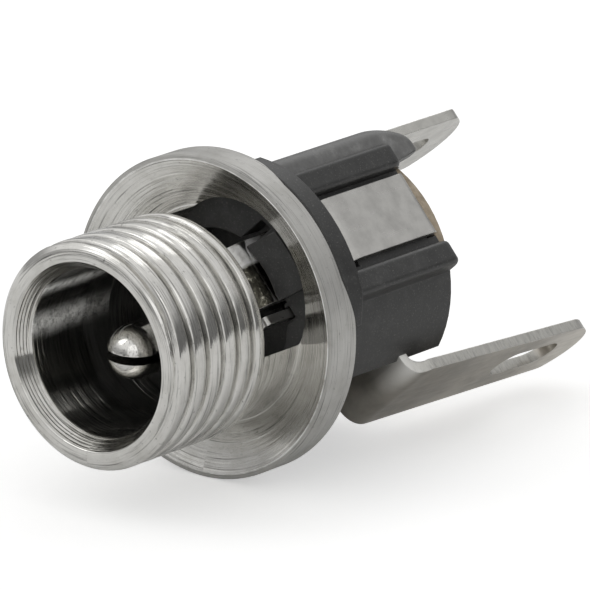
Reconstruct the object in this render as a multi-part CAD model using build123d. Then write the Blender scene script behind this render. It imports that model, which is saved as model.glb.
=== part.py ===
from build123d import *
import math
import os

# Panel-mount DC barrel jack. All sizes in millimetres.
# The jack axis runs along Y with the mouth toward -Y and the solder lugs toward +Y.
# The origin lies on the axis in the plane of the flange's front rim, the face that
# bears on the panel. The pieces are drawn with the contact window toward +Z, and all
# of them are turned about the axis at the end, to the way the jack lies on a bench.

os.makedirs("parts", exist_ok=True)

# Turn about the axis that brings the flange rim and the lower lug down to the bench
bench_turn = 49.0

# Plug size that everything else follows: 5.5 mm sleeve over a 2.1 mm pin hole
plug_sleeve_r = 2.75
plug_bore_r = 2.93

# Threaded barrel: 5/16 inch bushing, drawn at the thread crests
thread_crest_r = 3.97
thread_end_y = -1.46
mouth_y = -6.04
mouth_land_r = 3.73
mouth_opening_r = 3.28
mouth_bevel_depth = 0.60
mouth_outer_bevel = 0.26
relief_length = 0.18

# Thread relief: ring grooves at the pitch of a 5/16-32 thread
thread_pitch = 0.794
thread_run_end_y = -1.87
thread_depth = 0.33 * thread_pitch
groove_half_width = 0.24 * thread_pitch
first_groove_y = mouth_y + thread_pitch
thread_rings = 1 + int((thread_run_end_y - groove_half_width - first_groove_y) / thread_pitch)

# Flange with a dished front face
flange_r = 5.70
flange_rear_y = 1.36
rim_land_r = 5.52
neck_r = 3.75
dish_depth = 0.70
flange_edge_round = 0.10

# Seat for the insulator in the rear of the flange
seat_r = 4.30
seat_front_y = 0.98
seat_clearance = 0.03

# Window milled forward from the seat with a round cutter until it breaks through dish
# and neck
window_r = 3.14
window_centre_x = -0.20
window_centre_z = 1.50
window_front_y = -1.44

# Keyway in the rear of the flange for the insulator's lip
keyway_half_width = 3.40
keyway_flat_half = 1.90
keyway_front_y = 1.01
keyway_clearance = 0.03
keyway_floor_z = 2.40

# Insulator body
body_r = 4.53
body_rear_y = 8.00
pin_side_flat_x = -3.45
sleeve_side_step_x = 3.40
sleeve_side_step_z = 1.60
bore_floor_y = 3.10

# Ribs either side of the contact strip
rib_inner_x = 1.53
rib_outer_x = 2.44
rib_top_z = 4.66
rib_rear_y = 8.06
rib_edge_round = 0.18
rib_end_round = 0.55

# Rounded shoulder of the body beside the rib, over the pin terminal
shoulder_outer_x = 3.24
shoulder_taper_y = 7.60
shoulder_rear_y = 9.35
shoulder_tip_outer_x = 2.45
shoulder_tip_inner_x = 1.93
shoulder_top_z = 4.45
shoulder_foot_z = 3.00
shoulder_round = 0.50
shoulder_tip_round = 0.22

# Lip of the insulator that fills the keyway
lip_r = 5.66
lip_rear_y = 2.10
lip_rear_flat_half = 2.10
lip_end_rear_y = 1.66
lip_edge_bevel = 0.14

# Block that stands forward in the window, leaning a little, and the groove beside it
block_front_y = 0.68
block_left_x = -1.04
block_right_x = 1.16
block_lean = 0.18
block_top_z = 4.40
block_underside_z = 2.92
groove_outer_x = -1.50
groove_r = 4.02
groove_rear_y = 1.95

# Contact spring that presses on the plug sleeve
strip_width = 2.40
strip_thickness = 0.30
strip_centre_x = -0.10
strip_seat_z = 4.08
strip_front_y = 3.50
strip_fold_depth = 1.00
fold_relief = 0.17
ramp_relief = 0.22
strip_side_gap = 0.04
finger_underside_z = 2.42
finger_rear_y = 1.98
finger_front_y = 0.55
finger_tip_y = -0.38
finger_tip_drop = 0.45
strip_bend_r = 0.30
strip_fold_r = 0.18
contact_slot_half_width = 1.28
side_finger_x0 = 1.48
side_finger_x1 = 1.80
side_finger_front_y = -0.38
side_finger_slot_x = 1.95
side_finger_bridge_y = 2.05
finger_hole_gap = 0.06

# Centre pin with a split rounded tip
pin_r = 0.96
pin_dome_centre_y = -3.54
pin_slit_width = 0.30
pin_slit_end_y = -0.60
pin_slit_angle = 45.0
pin_shank_r = 0.75
pin_fit = 0.005
pin_tail_r = 0.65
pin_head_r = 1.10
pin_head_thickness = 0.32

# Rear wafer
wafer_r = 4.22
wafer_thickness = 0.38
wafer_fit = 0.02

# Solder lugs
lug_thickness = 0.39
lug_bend_r = 0.25
lug_end_y = 16.28
lug_crown_upper = 1.30
lug_crown_lower = 0.62
lug_apex_z = -0.45
lug_corner_r = 0.45
slot_length = 3.20
slot_width = 1.50
slot_centre_y = 13.32

# Pin terminal, a flat blade beside the body, riveted under the pin's head
pin_lug_inner_x = -3.30
pin_lug_half_width = 1.93
pin_ring_r = 1.75

# Sleeve terminal, its foot leaves the body sideways and bends rearward
sleeve_foot_y = 5.68
sleeve_bend_r = 0.45
sleeve_foot_inner_x = 2.20
sleeve_lug_outer_x = 5.03
sleeve_lug_splay = 2.6
sleeve_lug_root_half = 1.96
sleeve_lug_end_half = 1.57
sleeve_lug_centre_z = 0.14
sleeve_foot_top_z = 1.80
foot_fit = 0.02


def turned(points):
    # Solid of revolution about the jack axis from (radius, y) points
    outline = make_face(Polyline(*points, close=True))
    return revolve(outline, axis=Axis.Y)


def rod(radius, y0, y1):
    # Cylinder along the jack axis between two stations
    return turned([(0, y0), (radius, y0), (radius, y1), (0, y1)])


def block(x0, x1, y0, y1, z0, z1):
    # Box from its limits
    centre = ((x0 + x1) / 2, (y0 + y1) / 2, (z0 + z1) / 2)
    return Pos(*centre) * Box(x1 - x0, y1 - y0, z1 - z0)


def ribbon(plane, points, width, thickness, radius):
    # Bent sheet metal: a rectangle swept along a filleted path drawn on a plane
    path = plane * FilletPolyline(*points, radius=radius)
    start = Plane(origin=path @ 0, x_dir=plane.z_dir, z_dir=path % 0)
    return sweep(start * Rectangle(width, thickness), path=path)


# Shell: threaded barrel, neck and dished flange turned from one piece
dish_neck_y = dish_depth
thread_profile = []
for ring in range(thread_rings):
    groove_y = first_groove_y + ring * thread_pitch
    thread_profile.append((thread_crest_r, groove_y - groove_half_width))
    thread_profile.append((thread_crest_r - thread_depth, groove_y))
    thread_profile.append((thread_crest_r, groove_y + groove_half_width))
shell = turned(
    [
        (mouth_opening_r, mouth_y),
        (mouth_land_r, mouth_y),
        (thread_crest_r, mouth_y + mouth_outer_bevel),
        *thread_profile,
        (thread_crest_r, thread_end_y - relief_length),
        (neck_r, thread_end_y),
        (neck_r, dish_neck_y),
        (rim_land_r, 0),
        (flange_r, 0),
        (flange_r, flange_rear_y),
        (seat_r, flange_rear_y),
        (seat_r, seat_front_y),
        (plug_bore_r, seat_front_y),
        (plug_bore_r, mouth_y + mouth_bevel_depth),
    ]
)
rear_rim = shell.edges().filter_by(GeomType.CIRCLE).filter_by(
    lambda e: abs(e.radius - flange_r) < 0.001 and e.center().Y > flange_rear_y - 0.01
)
shell = chamfer(rear_rim, flange_edge_round)

# Window: round pocket beside the axis, from the seat forward
window_tool = Pos(window_centre_x, 0, window_centre_z) * rod(
    window_r, window_front_y, seat_front_y + 0.01
)
shell -= window_tool

# Keyway across the rear of the flange: flat in the middle, running out at the ends
keyway_plan = make_face(
    Polyline(
        (-keyway_flat_half, keyway_front_y),
        (keyway_flat_half, keyway_front_y),
        (keyway_half_width, flange_rear_y),
        (keyway_half_width, flange_rear_y + 1),
        (-keyway_half_width, flange_rear_y + 1),
        (-keyway_half_width, flange_rear_y),
        close=True,
    )
)
shell = shell - Pos(0, 0, keyway_floor_z) * extrude(keyway_plan, flange_r)

# Insulator: round body with a spigot that seats in the flange
insulator = rod(body_r, flange_rear_y, body_rear_y)
insulator += rod(seat_r - seat_clearance, seat_front_y, flange_rear_y)

# Lip that fills the keyway and keeps the body from turning; it thins toward its ends
lip_front_y = keyway_front_y + keyway_clearance
lip_half = keyway_half_width - keyway_clearance
lip_plan = make_face(
    Polyline(
        (-keyway_flat_half, lip_front_y),
        (keyway_flat_half, lip_front_y),
        (lip_half, flange_rear_y + keyway_clearance),
        (lip_half, lip_end_rear_y),
        (lip_rear_flat_half, lip_rear_y),
        (-lip_rear_flat_half, lip_rear_y),
        (-lip_half, lip_end_rear_y),
        (-lip_half, flange_rear_y + keyway_clearance),
        close=True,
    )
)
lip_blank = Pos(0, 0, keyway_floor_z + 0.05) * extrude(lip_plan, flange_r)
lip = lip_blank & turned(
    [
        (0, lip_front_y),
        (lip_r - lip_edge_bevel, lip_front_y),
        (lip_r, lip_front_y + lip_edge_bevel),
        (lip_r, lip_rear_y - lip_edge_bevel),
        (lip_r - lip_edge_bevel, lip_rear_y),
        (0, lip_rear_y),
    ]
)
insulator += lip

# Ribs, rounded along the outer edges and at the rear end
for side in (-1, 1):
    inner = side * rib_inner_x
    outer = side * rib_outer_x
    rib = block(
        min(inner, outer), max(inner, outer), lip_rear_y - 0.3, rib_rear_y, 3.2, rib_top_z
    )
    rear_top = rib.edges().filter_by(Axis.X).sort_by(Axis.Y)[-2:].sort_by(Axis.Z)[-1:]
    rib = fillet(rear_top, rib_end_round)
    long_edges = rib.edges().filter_by(Axis.Y).sort_by(Axis.Z)[-2:]
    rib = fillet(long_edges, rib_edge_round)
    insulator += rib

# Block over the contact finger, standing forward of the spigot face
lean_run = (block_top_z - block_underside_z) * block_lean
block_section = Polyline(
    (block_left_x, block_underside_z - 0.4),
    (block_right_x, block_underside_z - 0.4),
    (block_right_x, block_underside_z),
    (block_right_x + lean_run, block_top_z),
    (block_left_x + lean_run, block_top_z),
    (block_left_x, block_underside_z),
    close=True,
)
front_block = Pos(0, block_front_y, 0) * extrude(
    Plane.XZ * make_face(block_section), -(seat_front_y + 0.1 - block_front_y)
)
insulator += front_block & rod(seat_r - seat_clearance, 0, lip_rear_y)

# Shoulder: its plan tapers toward the rear, and its outer edges are rounded
shoulder_plan = Polyline(
    (-rib_inner_x - 0.2, lip_rear_y - 0.3),
    (-shoulder_outer_x, lip_rear_y - 0.3),
    (-shoulder_outer_x, shoulder_taper_y),
    (-shoulder_tip_outer_x, shoulder_rear_y),
    (-shoulder_tip_inner_x, shoulder_rear_y),
    (-rib_inner_x - 0.2, body_rear_y),
    close=True,
)
shoulder_face = make_face(shoulder_plan)
tip_corner = shoulder_face.vertices().sort_by(Axis.Y)[-2:].sort_by(Axis.X)[:1]
shoulder_face = fillet(tip_corner, shoulder_tip_round)
shoulder = Pos(0, 0, shoulder_foot_z) * extrude(
    shoulder_face, shoulder_top_z - shoulder_foot_z
)
outer_top = shoulder.edges().filter_by(
    lambda e: e.center().Z > shoulder_top_z - 0.01
    and e.center().X < -shoulder_tip_inner_x - 0.01
    and e.center().Y > lip_rear_y - 0.29
)
shoulder = fillet(outer_top, shoulder_round)
shoulder -= rod(wafer_r + wafer_fit, body_rear_y, shoulder_rear_y + 1)
insulator += shoulder

# Flats for the two terminals
insulator -= block(-6, pin_side_flat_x, flange_rear_y + 0.8, 10, -6, 6)
insulator -= block(
    sleeve_side_step_x, 6, flange_rear_y + 0.8, 10, -6, sleeve_side_step_z
)

# Channel floor for the contact strip and notch for its folded end
strip_x0 = strip_centre_x - strip_width / 2
strip_x1 = strip_centre_x + strip_width / 2
insulator -= block(-rib_inner_x, rib_inner_x, lip_rear_y, 10, strip_seat_z, 6)
insulator -= block(
    strip_x0 - strip_side_gap, strip_x1 + strip_side_gap, body_rear_y - strip_thickness, 10,
    strip_seat_z - strip_fold_depth, 6,
)
insulator -= block(
    strip_x0 - strip_side_gap, strip_x1 + strip_side_gap, body_rear_y - strip_thickness - fold_relief, 10,
    strip_seat_z - fold_relief, 6,
)

# Plug bore and the groove beside the block
insulator -= rod(plug_bore_r, 0, bore_floor_y)
side_groove = block(groove_outer_x, block_left_x, 0, groove_rear_y, 1.2, groove_r)
insulator -= side_groove & rod(groove_r, 0, groove_rear_y)

# Slot for the contact spring under the block, opening into the channel behind the lip
finger_top_z = finger_underside_z + strip_thickness
insulator -= block(
    strip_x0 - strip_side_gap, contact_slot_half_width, 0, lip_rear_y + 0.01,
    0.6, finger_top_z + finger_hole_gap,
)
insulator -= block(
    strip_x0 - strip_side_gap, contact_slot_half_width,
    lip_rear_y, strip_front_y + ramp_relief, 0.6, 6,
)
insulator -= block(
    0.5, side_finger_slot_x, side_finger_bridge_y - 0.75, bore_floor_y, 0.6,
    block_underside_z + 0.05,
)
insulator -= block(
    side_finger_x0 - finger_hole_gap, side_finger_x1 + finger_hole_gap, 0, bore_floor_y,
    0.6, finger_top_z + finger_hole_gap,
)

# Hole for the pin and slot for the foot of the sleeve terminal
insulator -= rod(pin_shank_r + pin_fit, bore_floor_y - 0.5, body_rear_y + 0.5)
foot_z0 = sleeve_lug_centre_z - sleeve_lug_root_half
foot_z1 = sleeve_foot_top_z
insulator -= block(
    sleeve_foot_inner_x - foot_fit, 6,
    sleeve_foot_y - foot_fit, sleeve_foot_y + lug_thickness + foot_fit,
    foot_z0 - foot_fit, foot_z1 + foot_fit,
)

# The wafer recess keeps the shoulder clear of the wafer
insulator -= rod(wafer_r + wafer_fit, body_rear_y, body_rear_y + wafer_thickness)

# Contact spring: strip in the channel, ramp under the lip, finger in the window
half_t = strip_thickness / 2
profile = Plane.YZ
strip_path = [
    (body_rear_y - half_t, strip_seat_z - strip_fold_depth + 0.1),
    (body_rear_y - half_t, strip_seat_z + half_t),
    (strip_front_y, strip_seat_z + half_t),
    (finger_rear_y + 0.35, finger_underside_z + half_t),
    (finger_front_y, finger_underside_z + half_t),
    (finger_tip_y, finger_underside_z + half_t - finger_tip_drop),
]
strip_radii = [strip_fold_r] + [strip_bend_r] * (len(strip_path) - 3)
spring = ribbon(profile, strip_path, strip_width, strip_thickness, strip_radii)
spring = Pos(strip_centre_x, 0, 0) * spring

# Narrow side finger beside the main one, bridged to it inside the insulator
side_finger = block(
    side_finger_x0, side_finger_x1, side_finger_front_y, side_finger_bridge_y + 0.55,
    finger_underside_z, finger_underside_z + strip_thickness,
)
tip_edges = side_finger.edges().filter_by(Axis.X).sort_by(Axis.Y)[:2].sort_by(Axis.Z)[-1:]
side_finger = fillet(tip_edges, 0.2)
bridge = block(
    strip_x1 - 0.3, side_finger_x1, side_finger_bridge_y - 0.45, side_finger_bridge_y,
    finger_underside_z, finger_underside_z + strip_thickness,
)
spring = spring + side_finger + bridge

# Centre pin: domed tip, shank, tail through the wafer and the formed head
head_front_y = body_rear_y + wafer_thickness + lug_thickness
pin = rod(pin_r, pin_dome_centre_y, bore_floor_y)
pin += rod(pin_shank_r, bore_floor_y, body_rear_y)
pin += Pos(0, pin_dome_centre_y, 0) * Sphere(pin_r)
pin += rod(pin_tail_r, body_rear_y, head_front_y)
pin += turned(
    [
        (0, head_front_y),
        (pin_head_r, head_front_y),
        (pin_head_r * 0.75, head_front_y + pin_head_thickness),
        (0, head_front_y + pin_head_thickness),
    ]
)
slit = block(
    -pin_slit_width / 2, pin_slit_width / 2,
    pin_dome_centre_y - 2, pin_slit_end_y, -2, 2,
)
pin -= Rot(0, 90 - pin_slit_angle, 0) * slit

# Rear wafer with the same flats as the body
wafer = rod(wafer_r, body_rear_y, body_rear_y + wafer_thickness)
wafer -= rod(pin_tail_r + 0.01, body_rear_y - 1, body_rear_y + 1)
wafer -= block(-6, pin_side_flat_x, body_rear_y - 1, body_rear_y + 1, -6, 6)
wafer -= block(
    sleeve_side_step_x, 6, body_rear_y - 1, body_rear_y + 1, -6, sleeve_side_step_z
)


def blade_cutter(y_root, root_half, end_half, centre_z):
    # Outline of a solder lug in the YZ plane: tapering sides and a skewed crowned end
    upper_y = lug_end_y - lug_crown_upper
    lower_y = lug_end_y - lug_crown_lower
    outline = Polyline(
        (lower_y, centre_z - end_half),
        (y_root, centre_z - root_half),
        (y_root, centre_z + root_half),
        (upper_y, centre_z + end_half),
    )
    crown = ThreePointArc(
        (upper_y, centre_z + end_half),
        (lug_end_y, centre_z + lug_apex_z),
        (lower_y, centre_z - end_half),
    )
    face = make_face([outline, crown])
    corners = face.vertices().filter_by(lambda v: v.X > upper_y - 0.01)
    face = fillet(corners, lug_corner_r)
    return extrude(Plane.YZ * face, 20, both=True)


def solder_slot(centre_z):
    # Elongated hole for the wire, cut through the blade along X
    hole = Pos(slot_centre_y, centre_z) * SlotOverall(slot_length, slot_width)
    return extrude(Plane.YZ * hole, 20, both=True)


# Pin terminal: ring under the pin's head, bent rearward beside the body
ring_mid_y = body_rear_y + wafer_thickness + lug_thickness / 2
blade_mid_x = pin_lug_inner_x - lug_thickness / 2
pin_terminal = ribbon(
    Plane.XY,
    [(-0.4, ring_mid_y), (blade_mid_x, ring_mid_y), (blade_mid_x, lug_end_y + 1)],
    2 * pin_lug_half_width, lug_thickness, lug_bend_r + lug_thickness / 2,
)
narrowing = block(-1.9, 3, 0, body_rear_y + 1.5, -3, 3) - block(
    -3, 3, 0, 20, -pin_ring_r, pin_ring_r
)
pin_terminal -= narrowing
pin_terminal += rod(pin_ring_r, head_front_y - lug_thickness, head_front_y)
pin_terminal -= rod(pin_tail_r + 0.01, 0, 12)
pin_blade = blade_cutter(body_rear_y, pin_lug_half_width, pin_lug_half_width, 0)
keep_ring = block(-2.8, 3, body_rear_y, head_front_y + 0.01, -3, 3)
pin_terminal = pin_terminal & (pin_blade + keep_ring)
pin_terminal -= solder_slot(0)

# Sleeve terminal: foot square to the axis, bend, then a slightly splayed blade
foot_mid_y = sleeve_foot_y + lug_thickness / 2
blade_x = sleeve_lug_outer_x - lug_thickness / 2
splay = math.tan(math.radians(sleeve_lug_splay))
blade_run = lug_end_y + 1 - foot_mid_y
sleeve_terminal = ribbon(
    Plane.XY,
    [
        (sleeve_foot_inner_x, foot_mid_y),
        (blade_x, foot_mid_y),
        (blade_x + splay * blade_run, lug_end_y + 1),
    ],
    2 * sleeve_lug_root_half, lug_thickness, sleeve_bend_r + lug_thickness / 2,
)
sleeve_terminal = Pos(0, 0, sleeve_lug_centre_z) * sleeve_terminal
sleeve_blade = blade_cutter(
    sleeve_foot_y + 0.9, sleeve_lug_root_half, sleeve_lug_end_half, sleeve_lug_centre_z
)

# The foot is a little narrower than the blade, and its upper edge slopes up in the bend
foot_low_z = sleeve_lug_centre_z - sleeve_lug_root_half
blade_top_z = sleeve_lug_centre_z + sleeve_lug_root_half
foot_outline = Polyline(
    (sleeve_foot_y - 0.5, foot_low_z - 0.5),
    (sleeve_foot_y + 0.91, foot_low_z - 0.5),
    (sleeve_foot_y + 0.91, blade_top_z),
    (sleeve_foot_y + 0.40, sleeve_foot_top_z),
    (sleeve_foot_y - 0.5, sleeve_foot_top_z),
    close=True,
)
keep_foot = extrude(Plane.YZ * make_face(foot_outline), 20, both=True)
sleeve_terminal = sleeve_terminal & (sleeve_blade + keep_foot)
sleeve_terminal -= solder_slot(sleeve_lug_centre_z)

for node, solid in (
    ("shell", shell),
    ("insulator", insulator),
    ("contact_spring", spring),
    ("centre_pin", pin),
    ("rear_wafer", wafer),
    ("pin_terminal", pin_terminal),
    ("sleeve_terminal", sleeve_terminal),
):
    export_step(Rot(0, bench_turn, 0) * solid, f"parts/{node}.step")
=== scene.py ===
# %% [markdown]
# A panel-mount DC barrel jack
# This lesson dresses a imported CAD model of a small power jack. The CAD gives the main
# sizes. Blender adds what the solids leave out: the thread, the lathe marks, the finish
# of nickel, moulded plastic and tinned sheet, and the light of a product photograph.

# %% Load the frame
import bmesh
import bpy
import math
import numpy as np
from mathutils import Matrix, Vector


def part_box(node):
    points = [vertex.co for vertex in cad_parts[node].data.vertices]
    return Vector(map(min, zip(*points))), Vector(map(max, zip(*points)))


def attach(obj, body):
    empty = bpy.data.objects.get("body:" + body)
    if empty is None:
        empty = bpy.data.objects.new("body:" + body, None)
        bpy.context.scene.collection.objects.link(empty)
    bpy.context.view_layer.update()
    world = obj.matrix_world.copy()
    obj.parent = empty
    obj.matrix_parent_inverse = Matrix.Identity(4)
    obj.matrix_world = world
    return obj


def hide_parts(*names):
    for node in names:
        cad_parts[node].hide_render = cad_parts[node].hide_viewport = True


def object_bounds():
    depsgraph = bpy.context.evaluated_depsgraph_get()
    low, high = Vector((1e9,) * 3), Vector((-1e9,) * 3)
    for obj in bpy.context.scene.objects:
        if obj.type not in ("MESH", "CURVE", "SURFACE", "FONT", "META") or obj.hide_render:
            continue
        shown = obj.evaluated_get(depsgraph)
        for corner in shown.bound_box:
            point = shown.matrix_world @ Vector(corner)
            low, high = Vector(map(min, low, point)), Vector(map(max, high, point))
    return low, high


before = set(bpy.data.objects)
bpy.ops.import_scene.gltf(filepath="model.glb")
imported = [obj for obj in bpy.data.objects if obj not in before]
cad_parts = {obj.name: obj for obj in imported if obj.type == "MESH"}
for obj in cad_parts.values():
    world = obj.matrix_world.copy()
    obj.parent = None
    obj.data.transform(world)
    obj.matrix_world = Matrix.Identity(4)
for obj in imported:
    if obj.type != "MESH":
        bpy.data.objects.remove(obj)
cad_box = [[float(c) for c in corner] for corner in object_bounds()]
mm = 0.001
print("nodes:", ", ".join(sorted(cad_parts)))
print("CAD box in mm:", [[round(c / mm, 2) for c in corner] for corner in cad_box])

# %% [markdown]
# Sizes from the CAD
# The jack is drawn with its contact window straight up and then turned about its own
# axis, because that is how it lies on a bench. New pieces are worked out in the same
# upright position, where a slot is a plain box, and turned by the same angle at the end.
# A box can't tell the radii inside the shell, so they are written with the CAD's values.

# %% Read the main sizes
shell_low, shell_high = (np.array(c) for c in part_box("shell"))
bench_turn = math.radians(49.0)
mouth_y = float(shell_low[1])
flange_rear_y = float(shell_high[1])
flange_r = float(shell_high[0])
crest_r = 3.97 * mm
bore_r = 2.93 * mm
neck_r = 3.75 * mm
thread_end_y = -1.46 * mm
print(f"mouth {mouth_y / mm:.2f}, flange rear {flange_rear_y / mm:.2f}, radius {flange_r / mm:.2f} mm")


# %% [markdown]
# Helpers for surfaces
# Every new piece is a grid of points worked out at once with numpy. Its columns close on
# themselves like a tube, and a tube whose rows close too is a ring and needs no caps.
# The faces follow from the row and column numbers alone, so one helper serves them all.

# %% Grid to mesh
def tube_faces(rows, columns, close_rows=False):
    """Corner numbers of the quads between neighbouring rows and columns of a tube or ring."""
    row_numbers = np.arange(rows if close_rows else rows - 1)
    row, column = np.meshgrid(row_numbers, np.arange(columns), indexing="ij")
    next_row = (row + 1) % rows
    next_column = (column + 1) % columns
    near = [row * columns + column, row * columns + next_column]
    far = [next_row * columns + next_column, next_row * columns + column]
    return np.stack(near + far, -1).reshape(-1, 4)


def closed_tube_faces(rows, columns):
    """The quads of a tube and one many-sided face over each of its two ends."""
    first_end = list(range(columns))[::-1]
    last_end = list(range((rows - 1) * columns, rows * columns))
    return tube_faces(rows, columns).tolist() + [first_end, last_end]


def turned_to_bench(points):
    """Turns upright points about the jack axis: x' = x cos + z sin, z' = z cos - x sin."""
    c, s = math.cos(bench_turn), math.sin(bench_turn)
    out = points.copy()
    out[..., 0] = points[..., 0] * c + points[..., 2] * s
    out[..., 2] = points[..., 2] * c - points[..., 0] * s
    return out


def mesh_piece(name, points, faces, smooth=True):
    """One mesh object at the origin from an array of points and a list or array of faces."""
    mesh = bpy.data.meshes.new(name)
    mesh.from_pydata(points.reshape(-1, 3).tolist(), [], [list(map(int, f)) for f in faces])
    shape = bmesh.new()
    shape.from_mesh(mesh)
    bmesh.ops.recalc_face_normals(shape, faces=shape.faces)
    shape.to_mesh(mesh)
    shape.free()
    if smooth:
        mesh.shade_smooth()
    else:
        mesh.shade_flat()
    piece = bpy.data.objects.new(name, mesh)
    bpy.context.scene.collection.objects.link(piece)
    return piece


# %% [markdown]
# The threaded barrel
# A thread is a ridge that climbs one pitch for each turn. It could be a profile swept
# along a helix, but on a surface of revolution the radius may depend on the angle as
# well as on the height, so here the whole thread is one formula: the ridge's phase is
# height divided by pitch minus angle divided by a full turn. The ring closes on itself
# because the phase gains exactly one per turn.

# %% Thread profile
inch = 25.4 * mm
turns_per_inch = 32
pitch = inch / turns_per_inch
thread_depth = 0.27 * mm
crest_share = 0.62
flank_share = 0.30
crest_wear = 0.022 * mm
run_out_y = thread_end_y - 0.05 * mm
run_out_length = 0.30 * mm
print(f"thread: {(thread_end_y - mouth_y) / pitch:.1f} turns of {pitch / mm:.3f} mm pitch")


def thread_radius(y, angle):
    """Crest radius less the depth times a flat-topped triangle wave of the phase.
    The crest is worn: it falls by the cube of the distance from its middle to its edges."""
    phase = (y - mouth_y) / pitch - angle / (2 * math.pi)
    wave = np.abs(2 * (phase - np.floor(phase)) - 1)
    groove = np.clip((wave - crest_share) / flank_share, 0, 1)
    worn = crest_wear * np.clip(wave / crest_share, 0, 1) ** 3
    fade = np.clip((run_out_y - y) / run_out_length, 0, 1)
    return crest_r - (thread_depth * groove + worn) * fade


# %% Bore and mouth profile
mouth_opening_r = 3.28 * mm
tool_mark_count = 5
tool_step = np.array((0.057, -0.103)) * mm


def bore_profile():
    """(radius, y) rows from the rear of the bore to the mouth: a straight bore, then a cone of
    small steps that the tool left, each the first one moved outward and forward by one step."""
    straight = [(bore_r, 3.0 * mm), (bore_r, 0.68 * mm), (bore_r, 0.63 * mm), (2.95 * mm, 0.59 * mm)]
    tool_mark = np.array([(2.99, 0.54), (3.00, 0.52), (3.045, 0.45), (3.05, 0.44)]) * mm
    steps = np.arange(tool_mark_count)[:, None, None] * tool_step
    cone = (tool_mark + steps).reshape(-1, 2)
    from_mouth = np.concatenate([straight, cone]) + np.array((0, mouth_y))
    rear = np.array([(bore_r, thread_end_y)])
    edge = np.array([(0.02, 0.005), (0.05, 0.0)]) * mm + np.array((mouth_opening_r, mouth_y))
    return np.concatenate([rear, from_mouth, edge])


print(f"mouth: opens from {bore_r / mm:.2f} to {mouth_opening_r / mm:.2f} mm in {tool_mark_count} steps")


# %% Revolve the barrel
barrel_columns = 384
barrel_rows = 228
mouth_land_r = 3.73 * mm
bevel_slope = 0.95


def threaded_barrel():
    """Points (r cos, y, r sin): the outer wall from the mouth to the rear, then the bore back.
    Only the outer wall is threaded, and its radius is held under the mouth's bevel line,
    which is the land's radius plus the slope times the distance from the mouth."""
    angle = np.linspace(0, 2 * math.pi, barrel_columns, endpoint=False)
    wall_y = np.linspace(mouth_y, thread_end_y, barrel_rows)
    outer_y, outer_angle = np.meshgrid(wall_y, angle, indexing="ij")
    bevel_line = mouth_land_r + (outer_y - mouth_y) * bevel_slope
    outer_r = np.minimum(thread_radius(outer_y, outer_angle), bevel_line)
    inner = np.repeat(bore_profile()[:, :, None], barrel_columns, 2)
    r = np.concatenate([outer_r, inner[:, 0]])
    y = np.concatenate([outer_y, inner[:, 1]])
    return np.stack([r * np.cos(angle), y, r * np.sin(angle)], -1)


barrel_points = threaded_barrel()
barrel_faces = tube_faces(len(barrel_points), barrel_columns, close_rows=True)
barrel = mesh_piece("barrel", turned_to_bench(barrel_points), barrel_faces)
print(f"barrel: {len(barrel_faces)} quads")

# %% [markdown]
# Neck and dished flange
# The flange is turned in the same chucking as the barrel. Its front is dished: a shallow
# cone falls from the narrow rim land to the neck. The Screw modifier could turn such a
# profile. Here numpy does it, after rounding each corner, because a turned edge always
# catches a line of light. The window and the keyway are milled afterwards on the real
# shell, so here too they are cut from the finished turning.

# %% Turn the flange
dish_depth = 0.70 * mm
rim_land_r = 5.52 * mm
seat_r = 4.30 * mm
seat_y = 0.98 * mm
flange_columns = 288


def rounded_profile(corners, radii, steps=5, hold=0.03 * mm):
    """Replaces each corner of a closed profile by a quadratic curve that leaves it at its radius.
    One more point on each side, a hold further out, keeps the shading of the flats flat."""
    corners = np.array(corners, float)
    before = np.roll(corners, 1, 0) - corners
    after = np.roll(corners, -1, 0) - corners
    before /= np.linalg.norm(before, axis=1, keepdims=True)
    after /= np.linalg.norm(after, axis=1, keepdims=True)
    reach = np.array(radii)[:, None]
    start = corners + before * reach
    end = corners + after * reach
    t = np.linspace(0, 1, steps)[None, :, None]
    curve = (1 - t) ** 2 * start[:, None] + 2 * t * (1 - t) * corners[:, None] + t ** 2 * end[:, None]
    first = start + before * hold
    last = end + after * hold
    return np.concatenate([first[:, None], curve, last[:, None]], 1).reshape(-1, 2)


def revolved(profile, columns):
    """Carries a (radius, y) profile round the jack axis: points (r cos, y, r sin)."""
    angle = np.linspace(0, 2 * math.pi, columns, endpoint=False)
    r, y = profile[:, :1], profile[:, 1:]
    return np.stack([r * np.cos(angle), np.repeat(y, columns, 1), r * np.sin(angle)], -1)


flange_corners = [
    (bore_r, thread_end_y), (neck_r, thread_end_y), (neck_r, dish_depth),
    (rim_land_r, 0), (flange_r, 0), (flange_r, flange_rear_y),
    (seat_r, flange_rear_y), (seat_r, seat_y), (bore_r, seat_y),
]
corner_radii = np.array((0.02, 0.02, 0.10, 0.03, 0.06, 0.10, 0.03, 0.02, 0.02)) * mm
flange_profile = rounded_profile(flange_corners, corner_radii)
flange_points = revolved(flange_profile, flange_columns)
flange_faces = tube_faces(len(flange_profile), flange_columns, close_rows=True)
flange = mesh_piece("neck_and_flange", turned_to_bench(flange_points), flange_faces)
print(f"flange: {len(flange_faces)} quads, dished by {dish_depth / mm:.2f} mm")


# %% Cutting tools
def prism(name, outline, low, high, along="y"):
    """A closed bar from an outline: (x, z) points carried along y, or (x, y) points along z."""
    outline = np.array(outline, float)
    carried = 1 if along == "y" else 2
    ends = [np.insert(outline, carried, level, axis=1) for level in (low, high)]
    faces = closed_tube_faces(2, len(outline))
    return mesh_piece(name, turned_to_bench(np.concatenate(ends)), faces, smooth=False)


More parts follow.
